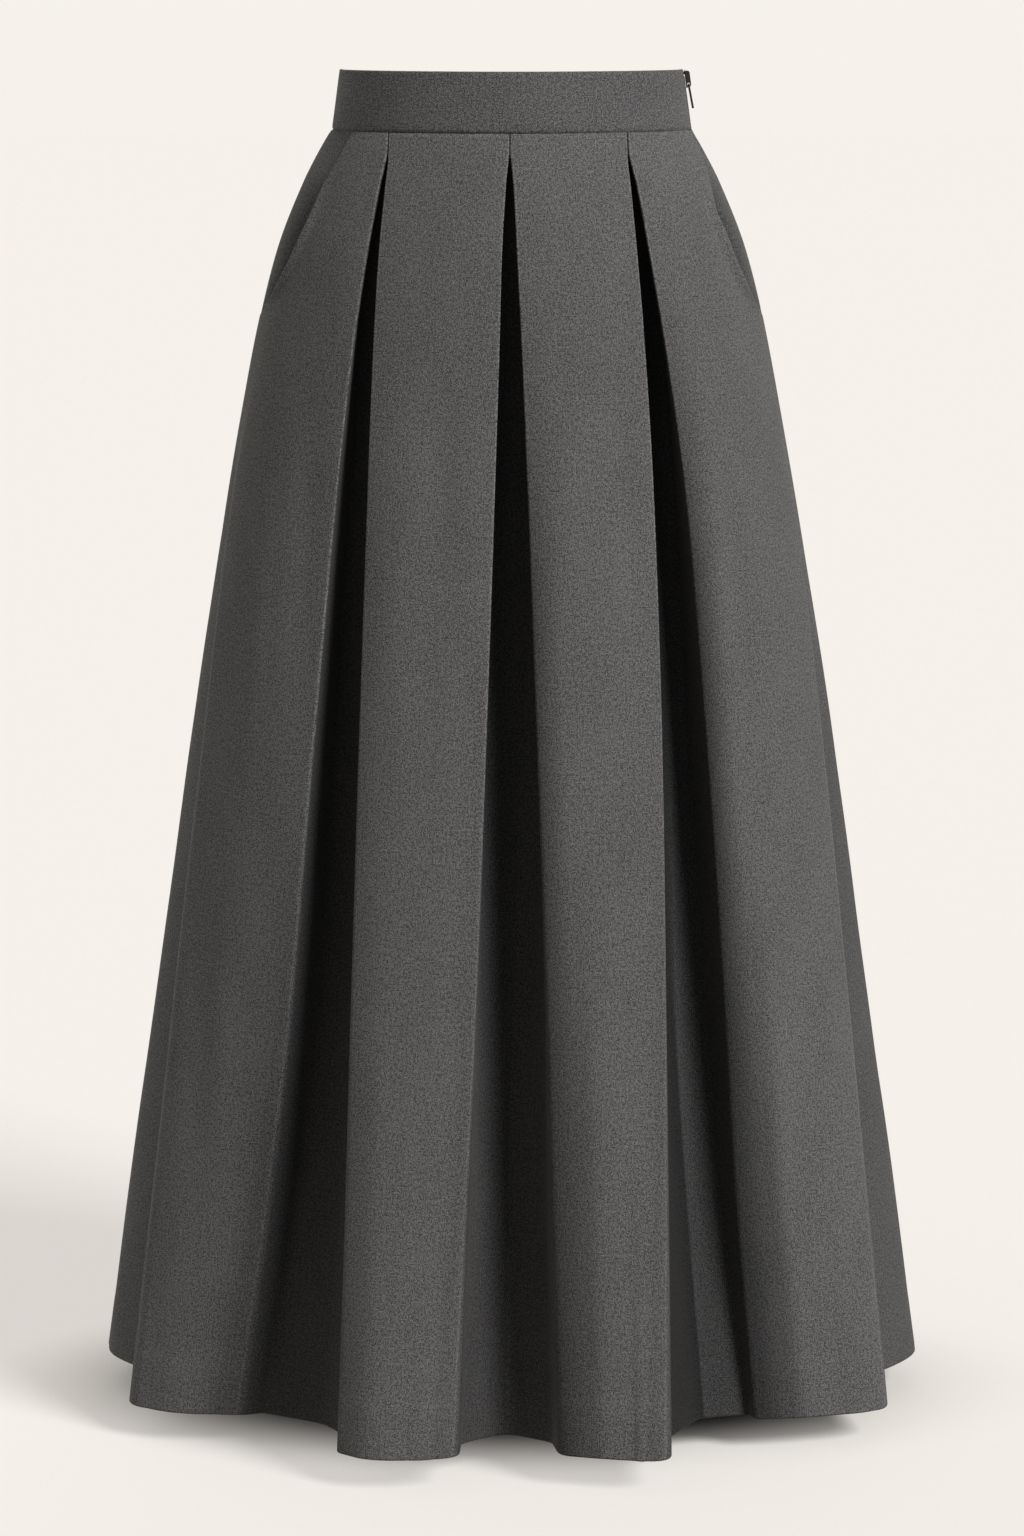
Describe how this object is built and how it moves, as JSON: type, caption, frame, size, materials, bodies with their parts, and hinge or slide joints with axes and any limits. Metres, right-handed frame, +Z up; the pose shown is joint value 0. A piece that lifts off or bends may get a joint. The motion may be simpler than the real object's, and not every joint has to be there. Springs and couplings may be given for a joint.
{
  "type": "box pleated maxi skirt",
  "caption": "Long hollow skirt of suiting cloth with inverted box pleats, a plain waistband, slanted side pockets and a side zip; worn from the waist.",
  "frame": {"origin": "centre of the waistband ring, half way up the band, where a wearer's waist holds the skirt", "axes": "+Z up, -Y towards the wearer's front, +X towards the wearer's left, where the zip is"},
  "size_m": [0.6184, 0.5308, 0.965],
  "materials": {
    "suiting": "fine wool blend suiting, charcoal melange, matt with a faint sheen",
    "zip_tape": "black woven tape with a closed black chain",
    "zip_metal": "black painted zinc, satin"
  },
  "bodies": {
    "skirt": {"waistband_front": "suiting", "waistband_back": "suiting", "skirt_front": "suiting", "skirt_back": "suiting", "pocket_facing_right": "suiting", "pocket_facing_left": "suiting", "zip_tape_front": "zip_tape", "zip_tape_back": "zip_tape", "zip_slider": "zip_metal"},
    "pull": {"zip_pull": "zip_metal"}
  },
  "joints": [
    {"name": "pull_swing", "type": "hinge", "parent": "skirt", "child": "pull", "pos_m": [0.12893, 0, 0.01053], "axis": [0, -1, 0], "range_deg": [0, 150]}
  ]
}
